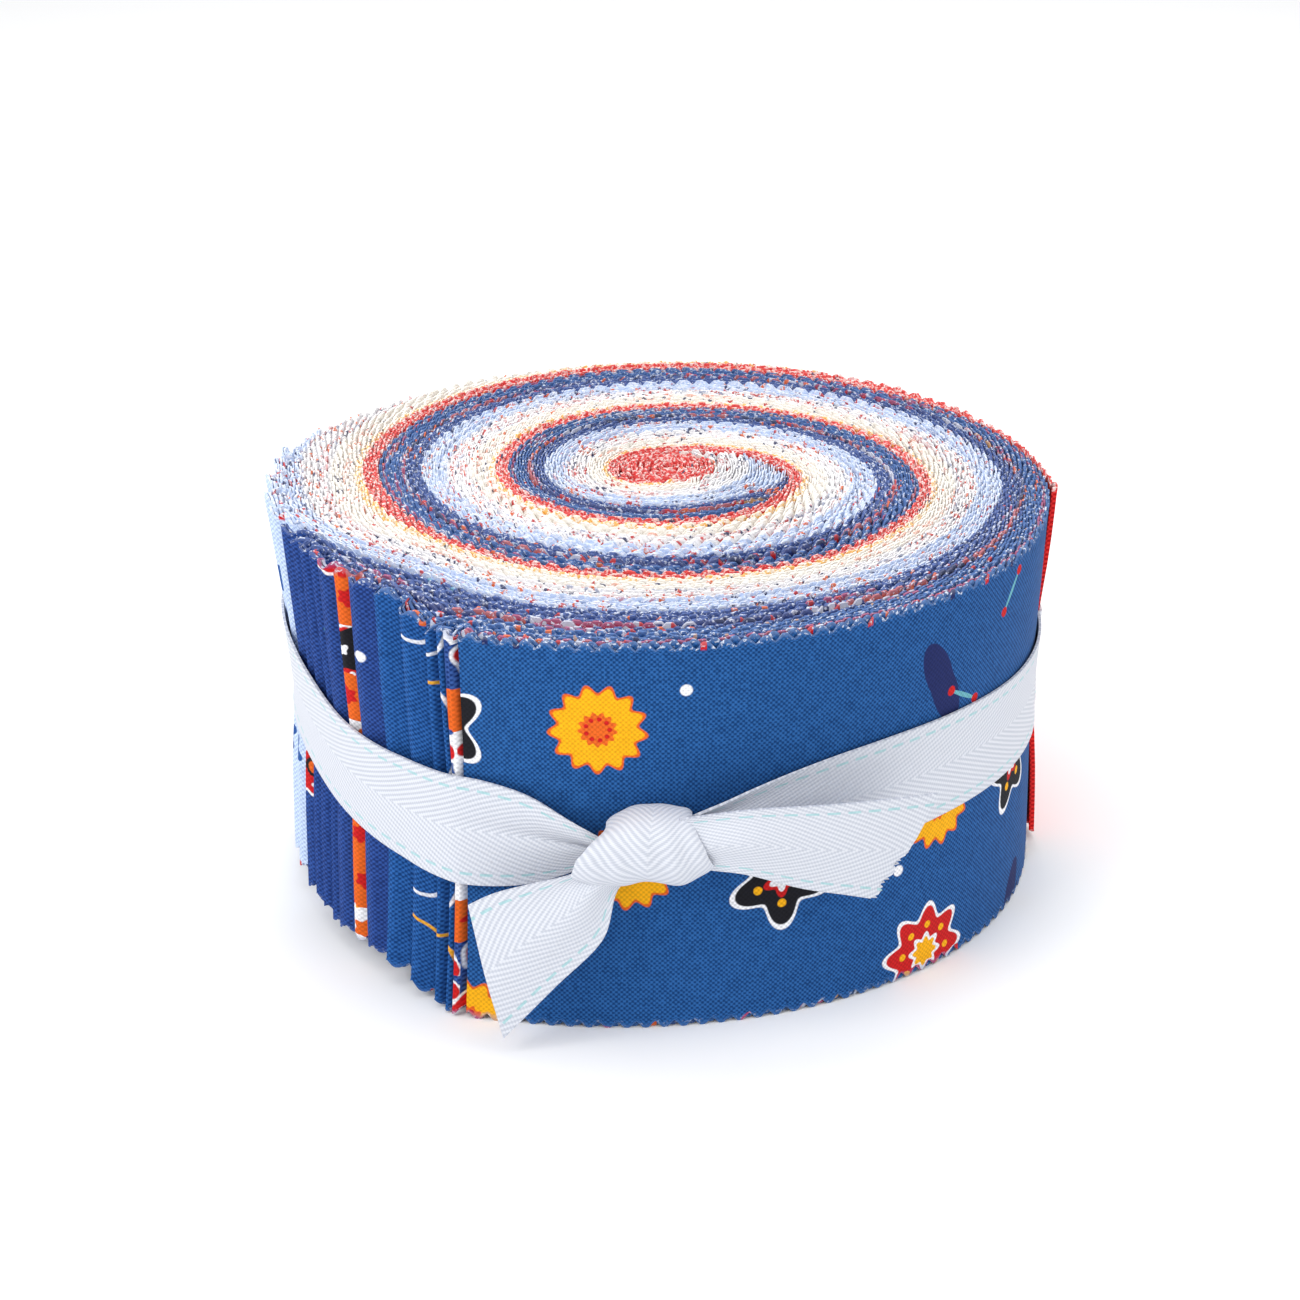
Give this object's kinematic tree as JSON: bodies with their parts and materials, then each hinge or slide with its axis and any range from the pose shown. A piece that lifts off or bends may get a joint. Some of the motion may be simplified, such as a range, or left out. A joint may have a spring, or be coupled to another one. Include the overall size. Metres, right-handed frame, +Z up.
{
  "type": "jelly roll of fabric strips",
  "caption": "Roll of pre-cut cotton strips with pinked edges, wound together in a spiral and tied round the middle with a flat twill ribbon.",
  "frame": {"origin": "centre of the winding on the bottom face", "axes": "+Z up out of the rolled edge, -Y towards the ribbon's knot, +X to the knot's right seen from the front"},
  "size_m": [0.1236, 0.1259, 0.0665],
  "materials": {
    "cotton": "matte",
    "twill": "satin"
  },
  "bodies": {
    "root": {"roll": "cotton", "ribbon": "twill"}
  },
  "joints": []
}
